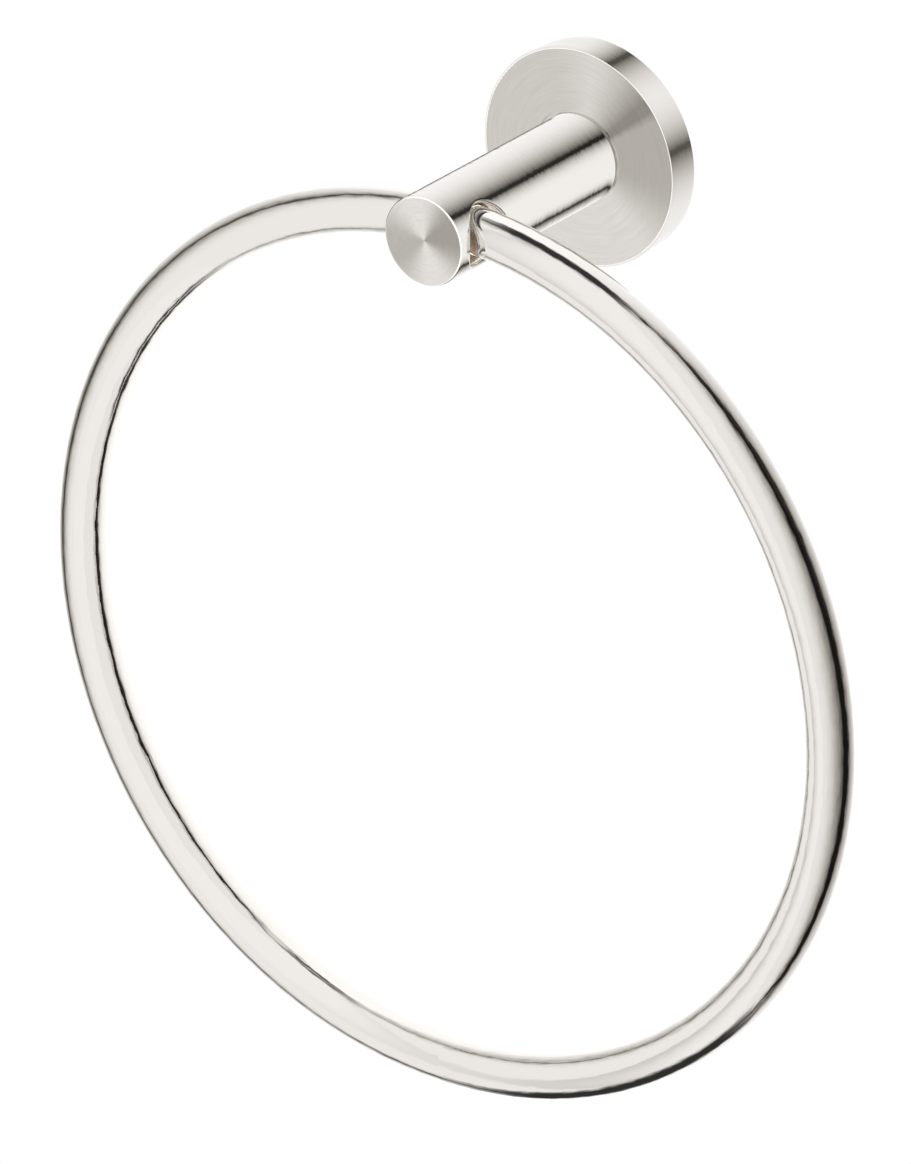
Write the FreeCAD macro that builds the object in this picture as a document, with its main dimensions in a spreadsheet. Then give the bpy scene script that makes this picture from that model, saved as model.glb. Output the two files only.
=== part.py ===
import FreeCAD, Part
import math
import os
from types import SimpleNamespace

import Sketcher

# A wall-mounted towel ring: a round bar bent to a ring, which swings in the cross
# bore of a round post, on a round flange that hides its wall plate and screws.
# The wall is the plane y = 0 and the object stands out of it towards -Y, with +Z up.
# The origin is the middle of the two wall screws, and the post's axis runs through it.
# Millimetres throughout. A depth is a distance out of the wall, so it is -y.

driving_sizes = {
    # The ring
    "rod_diameter": 10.0,  # bar that the ring is bent from
    "ring_radius": 95.0,  # bend of the ring, to the middle of the bar
    "ring_rise": 1.0,  # height of the ring's bend over the bore axis at the middle
    "ring_reach": 52.2,  # wall to the ring's plane
    "journal_step": 1.0,  # shoulder where the bar's ends are turned down
    "journal_span": 9.3,  # shoulder to shoulder, along the bore
    "ring_split": 0.2,  # gap between the ring's two ends
    "dowel_diameter": 4.0,  # dowel that joins the ring's ends
    "dowel_length": 16.0,  # length of that dowel
    # The post
    "post_diameter": 19.5,  # round bar of the post
    "post_nose": 9.6,  # ring's plane to the post's front face
    "post_edge": 0.45,  # round on the post's front edge
    "post_foot_edge": 0.12,  # bevel on the post's foot
    "bore_gap": 1.4,  # space round the bar in the cross bore
    "mouth_round": 0.65,  # round on the mouths of the cross bore
    "thread_margin": 2.4,  # full thread past the post screw's end
    # The bush in the cross bore
    "bush_play": 0.15,  # end play between the bush and each shoulder
    "bush_bevel": 0.4,  # bevel on the bush's outer edges
    # The flange
    "flange_diameter": 48.0,  # outside of the flange
    "flange_thickness": 7.8,  # wall to the flange's face
    "flange_edge": 0.8,  # round on the flange's front edge
    "flange_back_edge": 0.35,  # round on the flange's back edge
    "face_thickness": 3.0,  # wall of the flange's face
    "rim_wall": 3.85,  # wall of the flange's rim
    "boss_wall": 1.3,  # wall of the boss round the screw's head
    "boss_height": 4.6,  # face to the boss's end
    # The wall plate and its holes
    "plate_room": 0.8,  # wall plate to the back of the flange's face
    "plate_bevel": 0.5,  # bevel on the plate's front edge
    "plate_gap": 0.15,  # space round the plate in the flange
    "boss_gap": 0.5,  # space round the boss in the plate
    "hole_diameter": 4.5,  # holes for the wall screws
    "hole_head": 8.5,  # countersinks for the wall screws
    # The screw that holds the post on the flange
    "screw_diameter": 5.0,  # thread of the post screw
    "screw_length": 16.0,  # post screw with its head
    "screw_head": 10.0,  # head of the post screw
    "screw_socket": 3.0,  # across flats of its socket
    "screw_socket_depth": 1.9,  # depth of its socket
    "screw_point": 0.8,  # bevel on its point
    "screw_room": 0.2,  # space round its shank in the flange
    "head_sink": 0.2,  # head below the boss's end
    # The pin that keeps the post from turning on the flange
    "pin_diameter": 2.5,  # locating pin
    "pin_land": 0.25,  # side of the boss to the pin's hole
    "pin_in_flange": 2.3,  # pin's depth in the flange
    "pin_in_post": 4.0,  # pin's depth in the post
    # The grub screw under the flange
    "grub_diameter": 4.0,  # thread of the grub screw
    "grub_length": 5.0,  # length of the grub screw
    "grub_margin": 0.75,  # back of the rim to the grub screw's hole
    "grub_sink": 0.5,  # grub screw below the rim
    "grub_socket": 2.0,  # across flats of its socket
    "grub_socket_depth": 2.0,  # depth of its socket
    "notch_room": 0.5,  # space beside the grub screw in the plate's notch
    # Fits that several pieces share
    "running_gap": 0.05,  # journal in its bush, on the radius
    "tight_gap": 0.02,  # pins, bush and threads in their holes, on the radius
    "hole_end_gap": 0.2,  # space past the end of a pin
    "small_bevel": 0.4,  # bevel on the ends of pins and of the grub screw
    "cut_margin": 1.0,  # how far a cutting outline runs past the metal
}

doc = FreeCAD.newDocument("towel_ring")
sheet = doc.addObject("Spreadsheet::Sheet", "Sizes")


class Length:
    # A size as a number and as the formula that gives it, so that a sketch can be
    # drawn at the number and bound to the formula.

    def __init__(self, value, formula):
        self.value = value
        self.formula = formula

    def joined(self, sign, other, value):
        return Length(value, f"({self.formula} {sign} {as_length(other).formula})")

    def __add__(self, other):
        return self.joined("+", other, self.value + as_length(other).value)

    def __sub__(self, other):
        return self.joined("-", other, self.value - as_length(other).value)

    def __mul__(self, other):
        return self.joined("*", other, self.value * as_length(other).value)

    def __truediv__(self, other):
        return self.joined("/", other, self.value / as_length(other).value)

    def __neg__(self):
        return Length(-self.value, f"(0 - {self.formula})")


def as_length(number):
    if isinstance(number, Length):
        return number
    return Length(float(number), repr(float(number)))


for row, (name, number) in enumerate(driving_sizes.items(), 1):
    sheet.set(f"A{row}", name)
    sheet.set(f"B{row}", str(number))
    sheet.setAlias(f"B{row}", name)
doc.recompute()
size = SimpleNamespace(
    **{name: Length(float(sheet.get(name)), f"Sizes.{name}") for name in driving_sizes}
)

rod_radius = size.rod_diameter / 2
post_radius = size.post_diameter / 2
bore_radius = rod_radius + size.bore_gap
journal_radius = rod_radius - size.journal_step
flange_radius = size.flange_diameter / 2
recess_radius = flange_radius - size.rim_wall
plate_radius = recess_radius - size.plate_gap
inner_face = size.flange_thickness - size.face_thickness
plate_thickness = inner_face - size.plate_room
projection = size.ring_reach + size.post_nose
sink_radius = size.screw_head / 2 + size.head_sink
boss_radius = sink_radius + size.boss_wall
clear_hole = boss_radius + size.boss_gap
hole_offset = (clear_hole + plate_radius) / 2
boss_end = size.flange_thickness - size.boss_height
pin_offset = boss_radius - size.pin_land - size.pin_diameter / 2
screw_top = boss_end + size.head_sink
screw_end = screw_top + size.screw_length
grub_depth = size.grub_diameter / 2 + size.grub_margin
grub_tip = flange_radius - size.grub_sink - size.grub_length


def new_body(label):
    body = doc.addObject("PartDesign::Body", label)
    body.Label = label
    return body


def new_sketch(body, name, role, offset=None):
    # A sketch on one of the body's own origin planes, moved along its normal if asked.
    # The normals are +Z for XY_Plane, -Y for XZ_Plane and +X for YZ_Plane.
    plane = next(item for item in body.Origin.OriginFeatures if item.Role == role)
    sketch = body.newObject("Sketcher::SketchObject", name)
    sketch.AttachmentSupport = [(plane, "")]
    sketch.MapMode = "FlatFace"
    if offset is not None:
        away = FreeCAD.Vector(0, 0, offset.value)
        sketch.AttachmentOffset = FreeCAD.Placement(away, FreeCAD.Rotation())
        sketch.setExpression("AttachmentOffset.Base.z", offset.formula)
    return sketch


def bind(sketch, constraint, length):
    # Adds a constraint that holds a size and binds it to its formula.
    number = sketch.addConstraint(constraint)
    sketch.setExpression(f"Constraints[{number}]", length.formula)


def hold_across(sketch, item, point, across):
    # Holds a point at its distance from the sketch's vertical axis.
    if across.value == 0:
        sketch.addConstraint(Sketcher.Constraint("PointOnObject", item, point, -2))
    elif across.value > 0:
        bind(sketch, Sketcher.Constraint("DistanceX", -1, 1, item, point, across.value), across)
    else:
        bind(sketch, Sketcher.Constraint("DistanceX", item, point, -1, 1, -across.value), -across)


def hold_up(sketch, item, point, up):
    # Holds a point at its distance from the sketch's horizontal axis.
    if up.value == 0:
        sketch.addConstraint(Sketcher.Constraint("PointOnObject", item, point, -1))
    elif up.value > 0:
        bind(sketch, Sketcher.Constraint("DistanceY", -1, 1, item, point, up.value), up)
    else:
        bind(sketch, Sketcher.Constraint("DistanceY", item, point, -1, 1, -up.value), -up)


def draw_outline(sketch, corners):
    # A closed outline of straight lines through corners given as (across, up). A corner
    # that shares a size with the one before it hangs on it by an upright or level line.
    corners = [(as_length(across), as_length(up)) for across, up in corners]
    points = [FreeCAD.Vector(across.value, up.value, 0) for across, up in corners]
    for start, end in zip(points, points[1:] + points[:1]):
        sketch.addGeometry(Part.LineSegment(start, end), False)
    last = len(corners) - 1
    for line in range(last):
        sketch.addConstraint(Sketcher.Constraint("Coincident", line, 2, line + 1, 1))
    sketch.addConstraint(Sketcher.Constraint("Coincident", last, 2, 0, 1))
    hold_across(sketch, 0, 1, corners[0][0])
    hold_up(sketch, 0, 1, corners[0][1])
    for line in range(1, last + 1):
        across, up = corners[line]
        across_before, up_before = corners[line - 1]
        if across.formula == across_before.formula:
            sketch.addConstraint(Sketcher.Constraint("Vertical", line - 1))
        else:
            hold_across(sketch, line, 1, across)
        if up.formula == up_before.formula:
            sketch.addConstraint(Sketcher.Constraint("Horizontal", line - 1))
        else:
            hold_up(sketch, line, 1, up)


def draw_circle(sketch, across, up, radius):
    across, up = as_length(across), as_length(up)
    centre = FreeCAD.Vector(across.value, up.value, 0)
    normal = FreeCAD.Vector(0, 0, 1)
    item = sketch.addGeometry(Part.Circle(centre, normal, radius.value), False)
    bind(sketch, Sketcher.Constraint("Radius", item, radius.value), radius)
    hold_across(sketch, item, 3, across)
    hold_up(sketch, item, 3, up)


def draw_hexagon(sketch, across, up, across_flats):
    # Six equal sides with their corners on a construction circle.
    across, up = as_length(across), as_length(up)
    corner_radius = across_flats / math.sqrt(3)
    centre = FreeCAD.Vector(across.value, up.value, 0)
    corners = []
    for number in range(6):
        angle = math.radians(60 * number)
        spoke = FreeCAD.Vector(math.cos(angle), math.sin(angle), 0)
        corners.append(centre + spoke * corner_radius.value)
    for start, end in zip(corners, corners[1:] + corners[:1]):
        sketch.addGeometry(Part.LineSegment(start, end), False)
    circle = Part.Circle(centre, FreeCAD.Vector(0, 0, 1), corner_radius.value)
    guide = sketch.addGeometry(circle, True)
    for side in range(6):
        sketch.addConstraint(Sketcher.Constraint("Coincident", side, 2, (side + 1) % 6, 1))
        sketch.addConstraint(Sketcher.Constraint("PointOnObject", side, 1, guide))
    for side in range(5):
        sketch.addConstraint(Sketcher.Constraint("Equal", side, side + 1))
    sketch.addConstraint(Sketcher.Constraint("Horizontal", 1))
    bind(sketch, Sketcher.Constraint("Radius", guide, corner_radius.value), corner_radius)
    hold_across(sketch, guide, 3, across)
    hold_up(sketch, guide, 3, up)


def turn(body, sketch, name):
    # The turned blank: the sketch's outline taken round its own upright axis.
    turned = body.newObject("PartDesign::Revolution", name)
    turned.Profile = sketch
    turned.ReferenceAxis = (sketch, ["V_Axis"])
    turned.Angle = 360
    doc.recompute()
    return turned


def pad(body, sketch, name, length, both_ways=False):
    padded = body.newObject("PartDesign::Pad", name)
    padded.Profile = sketch
    padded.SideType = "Symmetric" if both_ways else "One side"
    padded.Length = length.value
    padded.setExpression("Length", length.formula)
    doc.recompute()
    return padded


def cut(body, sketch, name, length=None, both_ways=False, along_normal=False):
    # A pocket, against the sketch's normal unless asked otherwise, through all if it
    # has no length. It has to take metal away.
    volume_before = body.Shape.Volume
    pocket = body.newObject("PartDesign::Pocket", name)
    pocket.Profile = sketch
    pocket.SideType = "Symmetric" if both_ways else "One side"
    pocket.Reversed = along_normal
    if length is None:
        pocket.Type = "ThroughAll"
    else:
        pocket.Length = length.value
        pocket.setExpression("Length", length.formula)
    doc.recompute()
    if pocket.Shape.Volume >= volume_before:
        raise RuntimeError(f"{body.Label}: {name} takes no metal away")
    return pocket


def break_edges(body, base, name, kind, edges, amount):
    # A Fillet or a Chamfer on the named edges of the feature before it.
    if not edges:
        raise RuntimeError(f"{body.Label}: {name} finds no edge")
    feature = body.newObject(f"PartDesign::{kind}", name)
    feature.Base = (base, edges)
    measure = "Radius" if kind == "Fillet" else "Size"
    setattr(feature, measure, amount.value)
    feature.setExpression(measure, amount.formula)
    doc.recompute()
    return feature


def edges_where(feature, test):
    named = enumerate(feature.Shape.Edges, 1)
    return [f"Edge{number}" for number, edge in named if test(edge)]


def circles_on_y(feature, radius, depth):
    # Circular edges of this radius about the post's axis, at this depth.
    def wanted(edge):
        if not isinstance(edge.Curve, Part.Circle):
            return False
        centre = edge.Curve.Center
        on_axis = math.hypot(centre.x, centre.z) < 0.001
        at_depth = abs(centre.y + depth.value) < 0.001
        return on_axis and at_depth and abs(edge.Curve.Radius - radius.value) < 0.001

    return edges_where(feature, wanted)


def circles_of(feature, radius):
    def wanted(edge):
        return isinstance(edge.Curve, Part.Circle) and abs(edge.Curve.Radius - radius.value) < 0.001

    return edges_where(feature, wanted)


def make_ring():
    # The bar's section turned about the ring's own axis, which is level and square to
    # the wall. The top is cut open, and the two ends are turned down to journals on the
    # bore's axis, drilled for the dowel and parted by a narrow split.
    body = new_body("ring")
    section = new_sketch(body, "ring_section", "YZ_Plane")
    draw_circle(section, -size.ring_reach, size.ring_rise - size.ring_radius * 2, rod_radius)
    centre_line = Part.LineSegment(
        FreeCAD.Vector(-size.ring_reach.value, size.ring_rise.value - size.ring_radius.value, 0),
        FreeCAD.Vector(0, size.ring_rise.value - size.ring_radius.value, 0),
    )
    line = section.addGeometry(centre_line, True)
    hold_across(section, line, 1, -size.ring_reach)
    hold_across(section, line, 2, as_length(0))
    hold_up(section, line, 1, size.ring_rise - size.ring_radius)
    section.addConstraint(Sketcher.Constraint("Horizontal", line))
    bend = body.newObject("PartDesign::Revolution", "ring_bend")
    bend.Profile = section
    bend.ReferenceAxis = (section, ["Axis0"])
    bend.Angle = 360
    doc.recompute()

    opening = new_sketch(body, "ring_opening", "YZ_Plane")
    draw_circle(opening, -size.ring_reach, size.ring_rise, rod_radius + size.cut_margin)
    cut(body, opening, "ring_ends", size.journal_span, both_ways=True)

    journal = new_sketch(body, "journal_section", "YZ_Plane")
    draw_circle(journal, -size.ring_reach, 0, journal_radius)
    pad(body, journal, "journals", size.journal_span, both_ways=True)

    bore = new_sketch(body, "dowel_bore_section", "YZ_Plane")
    draw_circle(bore, -size.ring_reach, 0, size.dowel_diameter / 2)
    cut(body, bore, "dowel_bore", size.dowel_length + size.hole_end_gap * 2, both_ways=True)

    split = new_sketch(body, "split_section", "YZ_Plane")
    draw_circle(split, -size.ring_reach, 0, journal_radius + size.cut_margin)
    parted = cut(body, split, "split", size.ring_split, both_ways=True)

    def journal_end(edge):
        if not isinstance(edge.Curve, Part.Circle):
            return False
        at_split = abs(abs(edge.Curve.Center.x) - size.ring_split.value / 2) < 0.001
        return at_split and abs(edge.Curve.Radius - journal_radius.value) < 0.001

    ends = edges_where(parted, journal_end)
    break_edges(body, parted, "journal_ends", "Chamfer", ends, size.small_bevel)
    return body


def make_ring_dowel():
    body = new_body("ring_dowel")
    section = new_sketch(body, "ring_dowel_section", "YZ_Plane")
    radius = size.dowel_diameter / 2 - size.tight_gap
    draw_circle(section, -size.ring_reach, 0, radius)
    rod = pad(body, section, "ring_dowel_rod", size.dowel_length, both_ways=True)
    break_edges(body, rod, "ring_dowel_ends", "Chamfer", circles_of(rod, radius), size.small_bevel)
    return body


def make_pivot_bush():
    body = new_body("pivot_bush")
    outer_radius = bore_radius - size.tight_gap
    section = new_sketch(body, "bush_section", "YZ_Plane")
    draw_circle(section, -size.ring_reach, 0, outer_radius)
    draw_circle(section, -size.ring_reach, 0, journal_radius + size.running_gap)
    length = size.journal_span - size.bush_play * 2
    sleeve = pad(body, section, "bush_sleeve", length, both_ways=True)
    edges = circles_of(sleeve, outer_radius)
    break_edges(body, sleeve, "bush_edges", "Chamfer", edges, size.bush_bevel)
    return body


def make_post():
    # A turned bar with a tapped hole in its foot, which ends in a drill point. The
    # cross bore for the ring is drilled through it, and its mouths are rounded.
    body = new_body("post")
    thread_radius = size.screw_diameter / 2
    thread_end = screw_end + size.thread_margin
    profile = new_sketch(body, "post_profile", "XY_Plane")
    draw_outline(
        profile,
        [
            (0, -projection),
            (post_radius, -projection),
            (post_radius, -size.flange_thickness),
            (thread_radius, -size.flange_thickness),
            (thread_radius, -thread_end),
            (0, -(thread_end + thread_radius / math.tan(math.radians(59)))),
        ],
    )
    bar = turn(body, profile, "post_bar")
    front = circles_on_y(bar, post_radius, projection)
    rounded = break_edges(body, bar, "post_front_edge", "Fillet", front, size.post_edge)
    foot = circles_on_y(rounded, post_radius, size.flange_thickness)
    break_edges(body, rounded, "post_foot", "Chamfer", foot, size.post_foot_edge)

    pin_hole = new_sketch(body, "post_pin_section", "XZ_Plane", size.flange_thickness)
    draw_circle(pin_hole, 0, pin_offset, size.pin_diameter / 2)
    cut(body, pin_hole, "post_pin_hole", size.pin_in_post + size.hole_end_gap, along_normal=True)

    bore = new_sketch(body, "cross_bore_section", "YZ_Plane")
    draw_circle(bore, -size.ring_reach, 0, bore_radius)
    bored = cut(body, bore, "cross_bore", both_ways=True)

    def at_mouth(edge):
        for share in (0.2, 0.5, 0.8):
            span = edge.LastParameter - edge.FirstParameter
            point = edge.valueAt(edge.FirstParameter + span * share)
            from_post_axis = math.hypot(point.x, point.z)
            from_bore_axis = math.hypot(point.y + size.ring_reach.value, point.z)
            if abs(from_post_axis - post_radius.value) > 0.01:
                return False
            if abs(from_bore_axis - bore_radius.value) > 0.01:
                return False
        return True

    mouths = edges_where(bored, at_mouth)
    break_edges(body, bored, "bore_mouths", "Fillet", mouths, size.mouth_round)
    return body


def make_flange():
    # A turned cup: a face, a rim that reaches the wall, and a boss behind the face that
    # is countersunk for the post screw.
    body = new_body("flange")
    shank_hole = size.screw_diameter / 2 + size.screw_room
    profile = new_sketch(body, "flange_profile", "XY_Plane")
    draw_outline(
        profile,
        [
            (shank_hole, -size.flange_thickness),
            (flange_radius, -size.flange_thickness),
            (flange_radius, 0),
            (recess_radius, 0),
            (recess_radius, -inner_face),
            (boss_radius, -inner_face),
            (boss_radius, -boss_end),
            (sink_radius, -boss_end),
            (shank_hole, -(boss_end + sink_radius - shank_hole)),
        ],
    )
    cup = turn(body, profile, "flange_cup")
    front = circles_on_y(cup, flange_radius, size.flange_thickness)
    rounded = break_edges(body, cup, "flange_front_edge", "Fillet", front, size.flange_edge)
    back = circles_on_y(rounded, flange_radius, as_length(0))
    break_edges(body, rounded, "flange_rim_edge", "Fillet", back, size.flange_back_edge)

    pin_hole = new_sketch(body, "flange_pin_section", "XZ_Plane", size.flange_thickness)
    draw_circle(pin_hole, 0, pin_offset, size.pin_diameter / 2)
    cut(body, pin_hole, "flange_pin_hole", size.pin_in_flange + size.hole_end_gap)

    grub_hole = new_sketch(body, "grub_hole_section", "XY_Plane", size.cut_margin - recess_radius)
    draw_circle(grub_hole, 0, -grub_depth, size.grub_diameter / 2)
    cut(body, grub_hole, "grub_hole")
    return body


def make_post_screw():
    # A countersunk screw with a hexagon socket. Its cone lies on the flange's.
    body = new_body("post_screw")
    head_radius = size.screw_head / 2
    shank_radius = size.screw_diameter / 2 - size.tight_gap
    profile = new_sketch(body, "screw_profile", "XY_Plane")
    draw_outline(
        profile,
        [
            (0, -screw_top),
            (head_radius, -screw_top),
            (shank_radius, -(screw_top + head_radius - shank_radius)),
            (shank_radius, -(screw_end - size.screw_point)),
            (shank_radius - size.screw_point, -screw_end),
            (0, -screw_end),
        ],
    )
    turn(body, profile, "screw_blank")
    socket = new_sketch(body, "screw_socket_section", "XZ_Plane", screw_top)
    draw_hexagon(socket, 0, 0, size.screw_socket)
    cut(body, socket, "screw_socket_cut", size.screw_socket_depth, along_normal=True)
    return body


def make_locating_pin():
    body = new_body("locating_pin")
    radius = size.pin_diameter / 2 - size.tight_gap
    start = size.flange_thickness - size.pin_in_flange
    section = new_sketch(body, "pin_section", "XZ_Plane", start)
    draw_circle(section, 0, pin_offset, radius)
    rod = pad(body, section, "pin_rod", size.pin_in_flange + size.pin_in_post)
    break_edges(body, rod, "pin_ends", "Chamfer", circles_of(rod, radius), size.small_bevel)
    return body


def make_wall_plate():
    # A turned disc with a hole that clears the flange's boss, two countersunk holes for
    # the wall screws midway between that hole and the edge, and a notch in its lower
    # edge where the grub screw lands.
    body = new_body("wall_plate")
    profile = new_sketch(body, "plate_profile", "XY_Plane")
    draw_outline(
        profile,
        [
            (clear_hole, 0),
            (plate_radius, 0),
            (plate_radius, -(plate_thickness - size.plate_bevel)),
            (plate_radius - size.plate_bevel, -plate_thickness),
            (clear_hole, -plate_thickness),
        ],
    )
    turn(body, profile, "plate_disc")

    notch = new_sketch(body, "notch_section", "XZ_Plane", plate_thickness)
    notch_side = size.grub_diameter / 2 + size.notch_room
    draw_outline(
        notch,
        [
            (notch_side, -grub_tip),
            (-notch_side, -grub_tip),
            (-notch_side, -(plate_radius + size.cut_margin)),
            (notch_side, -(plate_radius + size.cut_margin)),
        ],
    )
    cut(body, notch, "notch")

    centres = new_sketch(body, "wall_hole_centres", "XZ_Plane", plate_thickness)
    draw_circle(centres, hole_offset, 0, size.hole_diameter / 2)
    draw_circle(centres, -hole_offset, 0, size.hole_diameter / 2)
    doc.recompute()
    holes = body.newObject("PartDesign::Hole", "wall_holes")
    holes.Profile = centres
    holes.DepthType = "ThroughAll"
    holes.HoleCutType = "Countersink"
    holes.Diameter = size.hole_diameter.value
    holes.setExpression("Diameter", size.hole_diameter.formula)
    holes.HoleCutDiameter = size.hole_head.value
    holes.setExpression("HoleCutDiameter", size.hole_head.formula)
    holes.HoleCutCountersinkAngle = 90
    doc.recompute()
    return body


def make_grub_screw():
    # A headless screw that points up from under the rim, with its socket outside.
    body = new_body("grub_screw")
    radius = size.grub_diameter / 2 - size.tight_gap
    section = new_sketch(body, "grub_section", "XY_Plane", -(flange_radius - size.grub_sink))
    draw_circle(section, 0, -grub_depth, radius)
    rod = pad(body, section, "grub_rod", size.grub_length)
    break_edges(body, rod, "grub_ends", "Chamfer", circles_of(rod, radius), size.small_bevel)
    socket = new_sketch(body, "grub_socket_section", "XY_Plane", -(flange_radius - size.grub_sink))
    draw_hexagon(socket, 0, -grub_depth, size.grub_socket)
    cut(body, socket, "grub_socket_cut", size.grub_socket_depth, along_normal=True)
    return body


makers = [
    make_ring,
    make_ring_dowel,
    make_pivot_bush,
    make_post,
    make_flange,
    make_post_screw,
    make_locating_pin,
    make_wall_plate,
    make_grub_screw,
]
pieces = [make() for make in makers]
doc.recompute()

for item in doc.Objects:
    if "Invalid" in item.State or "Error" in item.State:
        raise RuntimeError(f"{item.Label} failed: {item.State}")
for piece in pieces:
    if piece.Shape.isNull() or not piece.Shape.isValid():
        raise RuntimeError(f"{piece.Label} has no valid shape")
    if len(piece.Shape.Solids) != 1:
        raise RuntimeError(f"{piece.Label} is {len(piece.Shape.Solids)} solids")

os.makedirs("parts", exist_ok=True)
for piece in pieces:
    piece.Shape.exportStep(f"parts/{piece.Label}.step")
    box = piece.Shape.optimalBoundingBox(False, False)
    print(
        f"{piece.Label}: {piece.Shape.Volume:.1f} mm3,"
        f" X {box.XMin:.2f} to {box.XMax:.2f},"
        f" Y {box.YMin:.2f} to {box.YMax:.2f},"
        f" Z {box.ZMin:.2f} to {box.ZMax:.2f}"
    )
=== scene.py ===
import math

import bpy
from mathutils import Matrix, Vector

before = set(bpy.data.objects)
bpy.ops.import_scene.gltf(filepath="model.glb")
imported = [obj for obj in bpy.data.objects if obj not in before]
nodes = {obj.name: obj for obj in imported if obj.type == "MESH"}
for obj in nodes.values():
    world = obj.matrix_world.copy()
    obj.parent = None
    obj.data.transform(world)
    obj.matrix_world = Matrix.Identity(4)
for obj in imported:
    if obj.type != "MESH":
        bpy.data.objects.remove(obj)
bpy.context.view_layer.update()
print("loaded the frame")


# Node maths: a wire is an output socket that can stand in a Python expression

class Wire:
    def __init__(self, graph, socket):
        self.graph = graph
        self.socket = socket

    def __add__(self, other):
        return self.graph.maths("ADD", self, other)

    def __radd__(self, other):
        return self.graph.maths("ADD", other, self)

    def __sub__(self, other):
        return self.graph.maths("SUBTRACT", self, other)

    def __rsub__(self, other):
        return self.graph.maths("SUBTRACT", other, self)

    def __mul__(self, other):
        return self.graph.maths("MULTIPLY", self, other)

    def __rmul__(self, other):
        return self.graph.maths("MULTIPLY", other, self)

    def __truediv__(self, other):
        return self.graph.maths("DIVIDE", self, other)

    def __rtruediv__(self, other):
        return self.graph.maths("DIVIDE", other, self)

    def __pow__(self, other):
        return self.graph.maths("POWER", self, other)


class Graph:
    def __init__(self, tree):
        self.tree = tree
        tree.nodes.clear()

    def feed(self, socket, value):
        if isinstance(value, Wire):
            self.tree.links.new(value.socket, socket)
        else:
            socket.default_value = value

    def add(self, kind, settings=None, sockets=None, out=0):
        # settings come first because they change which sockets a node has
        node = self.tree.nodes.new(kind)
        for name, value in (settings or {}).items():
            setattr(node, name, value)
        for name, value in (sockets or {}).items():
            self.feed(node.inputs[name], value)
        return Wire(self, node.outputs[out]) if node.outputs else node

    def maths(self, operation, first, second=0.0, third=0.0):
        sockets = {0: first, 1: second, 2: third}
        return self.add("ShaderNodeMath", {"operation": operation}, sockets)

    def vectors(self, operation, first, second=(0.0, 0.0, 0.0), out=0):
        settings = {"operation": operation}
        return self.add("ShaderNodeVectorMath", settings, {0: first, 1: second}, out)

    def scaled(self, vector, factor):
        settings = {"operation": "SCALE"}
        return self.add("ShaderNodeVectorMath", settings, {0: vector, "Scale": factor})

    def split(self, vector):
        node = self.tree.nodes.new("ShaderNodeSeparateXYZ")
        self.feed(node.inputs[0], vector)
        return [Wire(self, socket) for socket in node.outputs]

    def join(self, x, y, z):
        return self.add("ShaderNodeCombineXYZ", None, {0: x, 1: y, 2: z})

    def step(self, value, low, high):
        # 0 below low, 1 above high, smooth between
        settings = {"interpolation_type": "SMOOTHSTEP"}
        return self.add("ShaderNodeMapRange", settings, {0: value, 1: low, 2: high})

    def mixColour(self, factor, first, second):
        settings = {"data_type": "RGBA"}
        return self.add("ShaderNodeMix", settings, {0: factor, 6: first, 7: second}, 2)


def newGraph(name):
    material = bpy.data.materials.new(name)
    material.use_nodes = True
    return material, Graph(material.node_tree)


def grey(level):
    return (level, level, level, 1.0)


# Camera

camera = {
    "aimAzimuth": 35.99,  # degrees to the right of square on
    "aimElevation": 24.70,  # degrees above level
    "distance": 3.263,  # metres from the middle of the ring
    "lens": 489.5,  # millimetres
    "sensor": 36.0,
    "clip": (0.1, 50.0),
    "ringCentre": (0.0, -0.0522, -0.094),
    "shiftRight": 0.000911,  # the picture's middle from the ring's middle
    "shiftUp": 0.013118,
}


def makeCamera():
    azimuth = math.radians(camera["aimAzimuth"])
    elevation = math.radians(camera["aimElevation"])
    back = Vector((
        math.sin(azimuth) * math.cos(elevation),
        -math.cos(azimuth) * math.cos(elevation),
        math.sin(elevation),
    ))
    right = Vector((math.cos(azimuth), math.sin(azimuth), 0.0))
    up = back.cross(right)
    centre = Vector(camera["ringCentre"])
    place = centre + back * camera["distance"]
    aim = centre + right * camera["shiftRight"] + up * camera["shiftUp"]
    data = bpy.data.cameras.new("camera")
    data.lens = camera["lens"]
    data.sensor_width = camera["sensor"]
    data.clip_start, data.clip_end = camera["clip"]
    cameraObject = bpy.data.objects.new("camera", data)
    cameraObject.location = place
    cameraObject.rotation_euler = (aim - place).to_track_quat("-Z", "Y").to_euler()
    bpy.context.scene.collection.objects.link(cameraObject)
    bpy.context.scene.camera = cameraObject


# Studio: a round tent of light with gaps at its sides, which the metal shows as dark lines

studio = {
    "fullColour": (1.0, 1.0, 1.0, 1.0),  # of light at its full level
    "dimColour": (1.065, 1.0, 0.905, 1.0),  # of the little light that is left in a gap
}

tent = {
    "frontLevel": 1.09,
    "backLevel": 1.2,
    "curve": 2.0,  # how fast the light comes back beside a gap
    # a gap's middle in degrees to the right of the front, half the width of its dark core, how
    # far it fades out below and above that, and the share of the light that is left in it
    "gaps": [
        {"at": 100.0, "core": 7.0, "below": 28.0, "above": 36.0, "left": 0.015},
        {"at": -86.0, "core": 0.0, "below": 40.0, "above": 30.0, "left": 0.3},
        {"at": -40.0, "core": 2.0, "below": 20.0, "above": 24.0, "left": 0.7},
    ],
}


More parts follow.
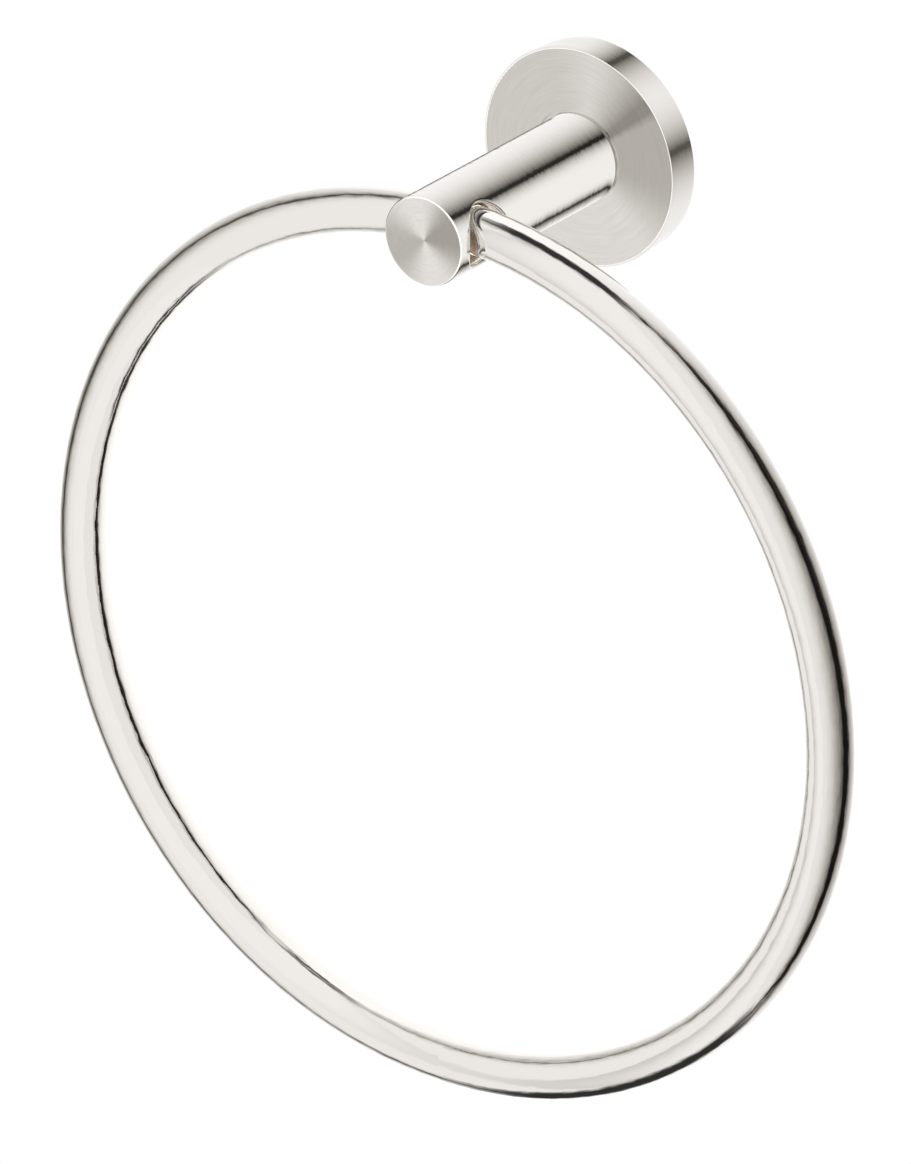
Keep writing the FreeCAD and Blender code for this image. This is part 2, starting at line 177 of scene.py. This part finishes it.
def lightAlong(graph, place, gaps, curve, turns=True):
    # share of the light at a place: each gap is dark in its core and fades out on both sides
    level = None
    for gap in gaps:
        offset = place - gap["at"]
        if turns:
            offset = graph.maths("WRAP", offset, 180.0, -180.0)
        above = (offset - gap["core"]) / gap["above"]
        below = (0.0 - offset - gap["core"]) / gap["below"]
        share = graph.maths("MAXIMUM", above, below)
        if gap.get("soft"):
            share = graph.step(share, 0.0, 1.0)
        else:
            share = graph.maths("MAXIMUM", graph.maths("MINIMUM", share, 1.0), 0.0)
            share = 1.0 - (1.0 - share) ** curve
        light = gap["left"] + (1.0 - gap["left"]) * share
        level = light if level is None else graph.maths("MINIMUM", level, light)
    return level


def warmLight(graph, level):
    # less light is a little warmer
    share = graph.maths("MINIMUM", level, 1.0) if isinstance(level, Wire) else 1.0
    return graph.mixColour(share, studio["dimColour"], studio["fullColour"])


def makeWorld():
    world = bpy.data.worlds.new("tent")
    bpy.context.scene.world = world
    world.use_nodes = True
    graph = Graph(world.node_tree)
    x, y = graph.split(graph.add("ShaderNodeTexCoord"))[:2]
    azimuth = graph.maths("ARCTAN2", x, 0.0 - y) * math.degrees(1)
    toBack = graph.step(graph.maths("ABSOLUTE", azimuth), 90.0, 180.0)
    full = tent["frontLevel"] + toBack * (tent["backLevel"] - tent["frontLevel"])
    level = full * lightAlong(graph, azimuth, tent["gaps"], tent["curve"])
    colour = warmLight(graph, level)
    light = graph.add("ShaderNodeBackground", None, {"Color": colour, "Strength": level})
    white = graph.add("ShaderNodeBackground", None, {"Color": grey(1.0), "Strength": 1.0})
    toCamera = graph.add("ShaderNodeLightPath")
    shown = graph.add("ShaderNodeMixShader", None, {0: toCamera, 1: light, 2: white})
    graph.add("ShaderNodeOutputWorld", None, {"Surface": shown})


def endLight(piece, material, graph, lit, light):
    # the light shows where lit is 1, and never to the camera
    clear = graph.add("ShaderNodeBsdfTransparent")
    shown = graph.add("ShaderNodeMixShader", None, {0: lit, 1: clear, 2: light})
    graph.add("ShaderNodeOutputMaterial", None, {"Surface": shown})
    piece.data.materials.append(material)
    piece.visible_camera = False
    piece.visible_shadow = False


crossBore = {
    "reach": -0.0522,  # its place along Y
    "inside": 0.00655,  # radii between which its wall turns into its mouth
    "lip": 0.0067,
    # distances from the post's axis over which the bore wall's painted shading, roughness and
    # metal give way to the post's own finish
    "skin": (0.0086, 0.0094),
    "paintedReflectionSide": (0.0, 0.90, 0.44),  # the wall is painted with a bright reflection on this side and with dark shade opposite it
    "paintedShadeEdge": (-0.75, -0.35),  # where the painted shade turns into the painted reflection, as cosines from that side
}


# Light screens: small lit surfaces that follow the post and the flange closely and light only
# what is within their reach, for the view in the photo; each is a cone from its back circle to
# its front circle, lit on its inner side, and angles run round the wall axis from the right
# side upwards

postGaps = [
    {"at": 45.0, "core": 2.0, "below": 26.0, "above": 60.0, "left": 0.02},
    {"at": -29.0, "core": 1.5, "below": 44.0, "above": 22.0, "left": 0.04},
    {"at": 152.0, "core": 20.0, "below": 14.0, "above": 30.0, "left": 0.16},
]

screens = {
    "postScreen": {
        "back": (0.01075, -0.00810),  # radius of the back circle, and its place along Y
        "front": (0.01075, -0.0622),
        "reach": 0.0080,  # nothing farther away than this sees it
        "level": 1.10,
        "curve": 2.5,
        "gaps": postGaps,
        "window": 0.0066,  # radius of the openings that the ring passes through
        "frontDepth": 0.0020,  # how far the front gaps reach from its front
        "frontGaps": [{"at": -44.0, "core": 14.0, "below": 26.0, "above": 26.0, "left": 0.12}],
    },
    "footScreen": {
        "back": (0.01075, -0.00810),
        "front": (0.00980, -0.00811),
        "reach": 0.0080,
        "level": 1.10,
        "curve": 2.5,
        "gaps": postGaps,
        "outward": True,  # lit on its front instead
    },
    "endScreen": {
        "back": (0.0094, -0.0621),
        "front": (0.0, -0.06211),
        "centre": (-0.00022, -0.00017),  # towards what the flat face reflects
        "reach": 0.0040,
        "level": 0.95,
        "curve": 2.0,
        "gaps": [
            {"at": 26.0, "core": 14.0, "below": 76.0, "above": 58.0, "left": 0.47, "soft": True},
            {"at": -156.0, "core": 14.0, "below": 72.0, "above": 64.0, "left": 0.62, "soft": True},
        ],
    },
    "endRimScreen": {
        "back": (0.0106, -0.0621),
        "front": (0.0094, -0.06211),
        "centre": (-0.00022, -0.00017),
        "reach": 0.0040,
        "level": 1.4,
        "curve": 2.0,
        "gaps": [
            {"at": -150.0, "core": 50.0, "below": 70.0, "above": 80.0, "left": 0.62, "soft": True},
        ],
    },
    "faceScreen": {
        "back": (0.0240, -0.00840),
        "front": (0.0098, -0.00841),
        "reach": 0.0080,
        "level": 0.88,
        "curve": 2.0,
        "gaps": [
            {"at": 42.0, "core": 3.0, "below": 26.0, "above": 46.0, "left": 0.38},
            {"at": 14.0, "core": 16.0, "below": 46.0, "above": 34.0, "left": 0.62, "soft": True},
            {"at": 150.0, "core": 34.0, "below": 50.0, "above": 60.0, "left": 0.84, "soft": True},
        ],
    },
    "faceRimScreen": {
        "back": (0.0247, -0.00840),
        "front": (0.0240, -0.00841),
        "reach": 0.0080,
        "level": 1.4,
    },
    "sideScreen": {
        "back": (0.0247, 0.0008),
        "front": (0.0247, -0.00840),
        "reach": 0.0080,
        "level": 1.05,
        "curve": 2.5,
        "gaps": [
            {"at": 72.0, "core": 1.0, "below": 30.0, "above": 26.0, "left": 0.08},
            {"at": 15.0, "core": 1.0, "below": 40.0, "above": 32.0, "left": 0.10},
            {"at": -150.0, "core": 4.0, "below": 30.0, "above": 30.0, "left": 0.3},
        ],
    },
}


def makeScreen(name, screen):
    radiusBack, back = screen["back"]
    radiusFront, front = screen["front"]
    centreX, centreZ = screen.get("centre", (0.0, 0.0))
    bpy.ops.object.select_all(action="DESELECT")
    bpy.ops.mesh.primitive_cone_add(
        vertices=180,
        radius1=radiusBack,
        radius2=radiusFront,
        depth=back - front,
        end_fill_type="NOTHING",
        location=(centreX, (back + front) / 2, centreZ),
        rotation=(math.radians(90), 0.0, 0.0),
    )
    tube = bpy.context.object
    tube.name = name
    bpy.ops.object.transform_apply()
    material, graph = newGraph(name)
    x, y, z = graph.split(graph.add("ShaderNodeTexCoord", out="Object"))
    angle = graph.maths("ARCTAN2", z, x) * math.degrees(1)
    level = screen["level"]
    if "gaps" in screen:
        level = level * lightAlong(graph, angle, screen["gaps"], screen["curve"])
    if "frontGaps" in screen:
        atFront = 1.0 - graph.step(y, front, front + screen["frontDepth"])
        shade = 1.0 - lightAlong(graph, angle, screen["frontGaps"], screen["curve"])
        level = level * (1.0 - atFront * shade)
    colour = warmLight(graph, level)
    light = graph.add("ShaderNodeEmission", None, {"Color": colour, "Strength": level})
    lit = graph.add("ShaderNodeNewGeometry", out="Backfacing")
    if screen.get("outward"):
        lit = 1.0 - lit
    rayLength = graph.add("ShaderNodeLightPath", out="Ray Length")
    lit = lit * graph.maths("LESS_THAN", rayLength, screen["reach"])
    if "window" in screen:
        toBore = graph.join(0.0, y - crossBore["reach"], z)
        toBore = graph.vectors("LENGTH", toBore, out="Value")
        lit = lit * graph.maths("GREATER_THAN", toBore, screen["window"])
    endLight(tube, material, graph, lit, light)


# Bore lights: a lit disc some way inside each mouth of the cross bore

boreLight = {"depth": 0.0055, "radius": 0.0062, "level": 1.3}


def makeBoreLight(name, side):
    bpy.ops.object.select_all(action="DESELECT")
    bpy.ops.mesh.primitive_circle_add(
        vertices=64,
        radius=boreLight["radius"],
        fill_type="NGON",
        location=(side * boreLight["depth"], crossBore["reach"], 0.0),
        rotation=(0.0, math.radians(90 * side), 0.0),
    )
    disc = bpy.context.object
    disc.name = name
    bpy.ops.object.transform_apply()
    material, graph = newGraph(name)
    sockets = {"Color": studio["dimColour"], "Strength": boreLight["level"]}
    light = graph.add("ShaderNodeEmission", None, sockets)
    lit = 1.0 - graph.add("ShaderNodeNewGeometry", out="Backfacing")
    endLight(disc, material, graph, lit, light)


# Light cards: large flat cards beside and behind the object; a card is lit on the side that
# faces the object, and its gaps are in millimetres along it

cards = {
    "backCard": {
        "place": (-0.100, 0.048, -0.150),
        "size": (1.000, 1.500),  # along the card and upwards
        "turn": 0.0,  # degrees from facing the room
        "along": "x",
        "level": 1.25,
        "curve": 2.0,
        "gaps": [
            {"at": 315.0, "core": 100.0, "below": 275.0, "above": 100.0, "left": 0.02},
            {"at": -600.0, "core": 200.0, "below": 10.0, "above": 330.0, "left": 0.55, "soft": True},
        ],
    },
    "rightCard": {
        "place": (0.115, -0.195, -0.150),
        "size": (0.310, 1.500),
        "turn": -90.0,
        "along": "y",
        "level": 1.0,
        "curve": 6.0,
        "gaps": [{"at": -42.0, "core": 8.5, "below": 110.0, "above": 10.0, "left": 0.01}],
    },
    "leftCard": {
        "place": (-0.160, -0.126, -0.150),
        "size": (0.348, 1.500),
        "turn": 90.0,
        "along": "y",
        "level": 1.05,
        "curve": 4.5,
        "gaps": [{"at": -60.0, "core": 2.0, "below": 150.0, "above": 190.0, "left": 0.05}],
    },
}

cardFade = 0.2  # metres over which a card fades out at its top and bottom
millimetres = 1000.0  # in a metre


def makeCard(name, card):
    place = Vector(card["place"])
    length, height = card["size"]
    bpy.ops.object.select_all(action="DESELECT")
    bpy.ops.mesh.primitive_plane_add(
        size=1.0,
        location=place,
        rotation=(math.radians(90), 0.0, math.radians(card["turn"])),
    )
    plane = bpy.context.object
    plane.name = name
    plane.scale = (length, height, 1.0)
    bpy.ops.object.transform_apply()
    material, graph = newGraph(name)
    x, y, z = graph.split(graph.add("ShaderNodeTexCoord", out="Object"))
    along = (x if card["along"] == "x" else y) * millimetres
    level = card["level"] * lightAlong(graph, along, card["gaps"], card["curve"], False)
    colour = warmLight(graph, level)
    light = graph.add("ShaderNodeEmission", None, {"Color": colour, "Strength": level})
    fromMiddle = graph.maths("ABSOLUTE", z - place.z)
    lit = 1.0 - graph.step(fromMiddle, height / 2 - cardFade, height / 2)
    lit = lit * (1.0 - graph.add("ShaderNodeNewGeometry", out="Backfacing"))
    endLight(plane, material, graph, lit, light)


# Dark patches above and below, which the bar shows as the thick ends of its dark band

patches = {
    # the size is from the middle to the edge
    "roofPatch": {"place": (0.005, -0.045, 0.240), "size": (0.130, 0.090), "turn": 180.0},
    "floorPatch": {"place": (0.020, -0.042, -0.335), "size": (0.130, 0.088), "turn": 0.0},
}

patchLight = {
    "level": 0.035,
    "core": 0.45,  # share of a patch's width and depth that is fully dark
}


def makePatch(name, patch):
    place = Vector(patch["place"])
    width, depth = patch["size"]
    core = patchLight["core"]
    bpy.ops.object.select_all(action="DESELECT")
    bpy.ops.mesh.primitive_plane_add(
        size=2.0,
        location=place,
        rotation=(math.radians(patch["turn"]), 0.0, 0.0),
    )
    plane = bpy.context.object
    plane.name = name
    plane.scale = (width, depth, 1.0)
    bpy.ops.object.transform_apply()
    material, graph = newGraph(name)
    spot = graph.vectors("SUBTRACT", graph.add("ShaderNodeTexCoord", out="Object"), place)
    x, y = graph.split(spot)[:2]
    lit = 1.0 - graph.step(graph.maths("ABSOLUTE", x), width * core, width)
    lit = lit * (1.0 - graph.step(graph.maths("ABSOLUTE", y), depth * core, depth))
    lit = lit * (1.0 - graph.add("ShaderNodeNewGeometry", out="Backfacing"))
    sockets = {"Color": studio["fullColour"], "Strength": patchLight["level"]}
    light = graph.add("ShaderNodeEmission", None, sockets)
    endLight(plane, material, graph, lit, light)


floor = {
    "height": -0.34,
    "radius": 1.6,
    "colour": (0.9, 0.9, 0.9, 1.0),
}


def makeFloor():
    # white to the camera, clear from below and not seen by the metal
    bpy.ops.object.select_all(action="DESELECT")
    bpy.ops.mesh.primitive_circle_add(
        vertices=96,
        radius=floor["radius"],
        fill_type="NGON",
        location=(0.0, 0.0, floor["height"]),
    )
    plane = bpy.context.object
    plane.name = "floor"
    material, graph = newGraph("floor")
    pale = graph.add("ShaderNodeBsdfDiffuse", None, {"Color": floor["colour"]})
    white = graph.add("ShaderNodeEmission", None, {"Color": grey(1.0), "Strength": 1.0})
    clear = graph.add("ShaderNodeBsdfTransparent")
    toCamera = graph.add("ShaderNodeLightPath")
    under = graph.add("ShaderNodeNewGeometry", out="Backfacing")
    shown = graph.add("ShaderNodeMixShader", None, {0: toCamera, 1: pale, 2: white})
    shown = graph.add("ShaderNodeMixShader", None, {0: under, 1: shown, 2: clear})
    graph.add("ShaderNodeOutputMaterial", None, {"Surface": shown})
    plane.data.materials.append(material)
    plane.visible_glossy = False


# Finishes

nickel = {
    "colour": (0.789, 0.767, 0.738),
    "roughness": 0.105,
    "drawnRoughness": 0.085,
    "borePaintedShadingColour": (0.43, 0.34, 0.25),  # painted shade, on the cross bore's wall towards the post's face
    # painted reflection, on the rest of the cross bore's wall; both show through less metal
    "borePaintedReflectionColour": (0.93, 0.89, 0.82),
    "boreRoughness": 0.35,
    "boreMetal": 0.25,
}

turning = {
    "hairSize": 0.00022,  # metres from one groove that can be seen to the next
    "bandSize": 0.0011,
    "bandShift": 20.0,  # the shifts keep the three patterns apart
    "tilt": 0.22,  # how far the grooves tip the surface
    "chatterSize": 0.00040,
    "chatterShift": 40.0,
    "chatter": 0.45,  # how far a groove wanders round the piece
    "strokes": 2.2,  # how often a groove changes on its way round
    "hairShade": 0.20,  # how much darker or lighter the grooves are on faces
    "bandShade": 0.09,
}

drawing = {
    "centre": (0.0, -0.0522, -0.094),  # the ring's middle
    "bendRadius": 0.095,
    # fineness is how many marks lie in one radius of the bar, side by side; length is how
    # many lie in one radius of the ring, end to end
    "streaks": {"fineness": 10.0, "length": 2.4, "tilt": 0.06},
    "flecks": {"fineness": 8.0, "length": 26.0, "tilt": 0.18},
}


def noiseAt(graph, place, detail=2.0, roughness=0.6):
    sockets = {"Vector": place, "Scale": 1.0, "Detail": detail, "Roughness": roughness}
    return graph.add("ShaderNodeTexNoise", {"noise_dimensions": "3D"}, sockets) - 0.5


def toWorld(graph, direction):
    settings = {"vector_type": "NORMAL", "convert_from": "OBJECT", "convert_to": "WORLD"}
    unit = graph.vectors("NORMALIZE", direction)
    return graph.add("ShaderNodeVectorTransform", settings, {0: unit})


def turnedFinish(graph):
    # grooves that run round the wall axis, as a lathe and an abrasive belt leave them
    normal = graph.add("ShaderNodeTexCoord", out="Normal")
    x, y, z = graph.split(graph.add("ShaderNodeTexCoord", out="Object"))
    spoke = graph.join(x, 0.0, z)
    profile = graph.vectors("LENGTH", spoke, out="Value") - y
    spoke = graph.vectors("NORMALIZE", spoke)
    around = graph.vectors("CROSS_PRODUCT", spoke, (0.0, 1.0, 0.0))
    across = graph.vectors("CROSS_PRODUCT", around, normal)
    spokeX, spokeZ = graph.split(graph.scaled(spoke, turning["strokes"]))[::2]
    hairs = noiseAt(graph, graph.join(profile / turning["hairSize"], spokeX, spokeZ))
    chatterX = spokeX + turning["chatterShift"]
    wander = noiseAt(graph, graph.join(profile / turning["chatterSize"], chatterX, spokeZ))
    bandZ = spokeZ + turning["bandShift"]
    bands = noiseAt(graph, graph.join(profile / turning["bandSize"], spokeX, bandZ))
    push = graph.scaled(across, hairs * turning["tilt"])
    side = graph.scaled(around, wander * turning["chatter"])
    tipped = graph.vectors("ADD", normal, graph.vectors("ADD", push, side))
    facing = graph.maths("ABSOLUTE", graph.split(normal)[1])
    shade = 1.0 + facing * (hairs * turning["hairShade"] + bands * turning["bandShade"])
    return toWorld(graph, tipped), shade


def inCrossBore(graph):
    # first, 1 on the wall of the cross bore and 0 from its mouths outwards; second, 1 where that
    # wall is painted with dark shade, towards the post's face, and 0 where it is painted with a
    # bright reflection
    x, y, z = graph.split(graph.add("ShaderNodeTexCoord", out="Object"))
    spoke = graph.join(0.0, y - crossBore["reach"], z)
    fromAxis = graph.vectors("LENGTH", spoke, out="Value")
    turned = graph.vectors("DOT_PRODUCT", spoke, crossBore["paintedReflectionSide"], out="Value")
    inside = 1.0 - graph.step(fromAxis, crossBore["inside"], crossBore["lip"])
    paintedShadeMask = 1.0 - graph.step(turned / fromAxis, *crossBore["paintedShadeEdge"])
    fromPost = graph.vectors("LENGTH", graph.join(x, 0.0, z), out="Value")
    return inside * (1.0 - graph.step(fromPost, *crossBore["skin"])), paintedShadeMask


def metal(graph, colour, roughness, normal, metallic=1.0):
    sockets = {
        "Base Color": colour,
        "Metallic": metallic,
        "Roughness": roughness,
        "Normal": normal,
    }
    return graph.add("ShaderNodeBsdfPrincipled", None, sockets)


def makeTurnedNickel(name, bored):
    material, graph = newGraph(name)
    normal, shade = turnedFinish(graph)
    colour = graph.scaled(nickel["colour"], shade)
    roughness = nickel["roughness"]
    metallic = 1.0
    if bored:
        # the cross bore's wall gets painted shading: dark shade towards the post's face and a bright
        # reflection elsewhere, on a rougher, less metallic surface
        inside, paintedShadeMask = inCrossBore(graph)
        paintedReflectionColour = nickel["borePaintedReflectionColour"] + (1.0,)
        borePaintedShadingColour = graph.mixColour(paintedShadeMask, paintedReflectionColour, nickel["borePaintedShadingColour"] + (1.0,))
        colour = graph.mixColour(inside, colour, borePaintedShadingColour)
        roughness = roughness + inside * (nickel["boreRoughness"] - roughness)
        metallic = 1.0 + inside * (nickel["boreMetal"] - 1.0)
    surface = metal(graph, colour, roughness, normal, metallic)
    graph.add("ShaderNodeOutputMaterial", None, {"Surface": surface})
    return material


def drawnFinish(graph):
    # faint streaks that run along the bar, as drawing and polishing leave them
    normal = graph.add("ShaderNodeTexCoord", out="Normal")
    place = graph.add("ShaderNodeTexCoord", out="Object")
    x, y, z = graph.split(graph.vectors("SUBTRACT", place, drawing["centre"]))
    spoke = graph.join(x, 0.0, z)
    offset = graph.vectors("LENGTH", spoke, out="Value") - drawing["bendRadius"]
    spoke = graph.vectors("NORMALIZE", spoke)
    along = graph.vectors("CROSS_PRODUCT", spoke, (0.0, 1.0, 0.0))
    around = graph.vectors("CROSS_PRODUCT", along, normal)
    turn = graph.vectors("NORMALIZE", graph.join(offset, y, 0.0))
    push = 0.0
    for mark in (drawing["streaks"], drawing["flecks"]):
        turnX, turnY = graph.split(graph.scaled(turn, mark["fineness"]))[:2]
        spokeX, spokeZ = graph.split(graph.scaled(spoke, mark["length"]))[::2]
        sockets = {
            "Vector": graph.join(turnX, turnY, spokeX),
            "W": spokeZ,
            "Scale": 1.0,
            "Detail": 2.0,
            "Roughness": 0.5,
        }
        marks = graph.add("ShaderNodeTexNoise", {"noise_dimensions": "4D"}, sockets) - 0.5
        push = marks * mark["tilt"] + push
    return toWorld(graph, graph.vectors("ADD", normal, graph.scaled(around, push)))


def makeDrawnNickel(name):
    material, graph = newGraph(name)
    colour = nickel["colour"] + (1.0,)
    surface = metal(graph, colour, nickel["drawnRoughness"], drawnFinish(graph))
    graph.add("ShaderNodeOutputMaterial", None, {"Surface": surface})
    return material


steel = {
    "colour": (0.60, 0.58, 0.55),
    "shade": 0.2,  # how much darker or lighter it is from patch to patch
    "roughness": 0.24,
    "roughnessSpread": 0.22,
    "mottle": 0.0009,  # metres from one patch to the next
    "relief": 0.00002,
}

zinc = {
    "colour": (0.47, 0.47, 0.47),
    "shade": 0.3,
    "roughness": 0.42,
    "roughnessSpread": 0.2,
    "clouds": 0.006,
    "grain": 0.00035,
    "relief": 0.00003,
}

nylon = {
    "colour": (0.50, 0.43, 0.33, 1.0),
    "roughness": 0.48,
    "roughnessSpread": 0.16,
    "grain": 0.00025,
    "relief": 0.00002,
}


def grainAt(graph, size, detail):
    place = graph.add("ShaderNodeTexCoord", out="Object")
    return noiseAt(graph, graph.scaled(place, 1.0 / size), detail)


def grainBump(graph, grain, relief):
    return graph.add("ShaderNodeBump", None, {"Height": grain, "Distance": relief})


def makeSteel(name):
    # machined and barrelled steel: a mottled, fairly bright surface
    material, graph = newGraph(name)
    mottle = grainAt(graph, steel["mottle"], 3.0)
    colour = graph.scaled(steel["colour"], 1.0 + mottle * steel["shade"])
    roughness = steel["roughness"] + mottle * steel["roughnessSpread"]
    normal = grainBump(graph, mottle, steel["relief"])
    surface = metal(graph, colour, roughness, normal)
    graph.add("ShaderNodeOutputMaterial", None, {"Surface": surface})
    return material


def makeCastZinc(name):
    # die-cast zinc as it leaves the mould, a little cloudy and pebbled
    material, graph = newGraph(name)
    clouds = grainAt(graph, zinc["clouds"], 2.0)
    grain = grainAt(graph, zinc["grain"], 1.0)
    colour = graph.scaled(zinc["colour"], 1.0 + clouds * zinc["shade"])
    roughness = zinc["roughness"] + clouds * zinc["roughnessSpread"]
    surface = metal(graph, colour, roughness, grainBump(graph, grain, zinc["relief"]))
    graph.add("ShaderNodeOutputMaterial", None, {"Surface": surface})
    return material


def makeNylon(name):
    material, graph = newGraph(name)
    grain = grainAt(graph, nylon["grain"], 2.0)
    roughness = nylon["roughness"] + grain * nylon["roughnessSpread"]
    normal = grainBump(graph, grain, nylon["relief"])
    surface = metal(graph, nylon["colour"], roughness, normal, 0.0)
    graph.add("ShaderNodeOutputMaterial", None, {"Surface": surface})
    return material


def giveMaterial(piece, material):
    piece.data.materials.clear()
    piece.data.materials.append(material)


makeCamera()
makeWorld()
makeFloor()
for name in screens:
    makeScreen(name, screens[name])
for name in cards:
    makeCard(name, cards[name])
for name in patches:
    makePatch(name, patches[name])
makeBoreLight("rightBoreLight", 1)
makeBoreLight("leftBoreLight", -1)
print("made the camera, the studio and the floor")

# the post's material also paints shade and a reflection on its cross bore's wall
giveMaterial(nodes["post"], makeTurnedNickel("postFinishAndPaintedBoreShading", True))
giveMaterial(nodes["flange"], makeTurnedNickel("flangeFinish", False))
giveMaterial(nodes["ring"], makeDrawnNickel("ringFinish"))
giveMaterial(nodes["wall_plate"], makeCastZinc("plateFinish"))
giveMaterial(nodes["pivot_bush"], makeNylon("bushFinish"))
steelFinish = makeSteel("steelFinish")
for name in ("post_screw", "grub_screw", "locating_pin", "ring_dowel"):
    giveMaterial(nodes[name], steelFinish)
print("gave every piece its finish")

scene = bpy.context.scene
scene.view_settings.view_transform = "Standard"
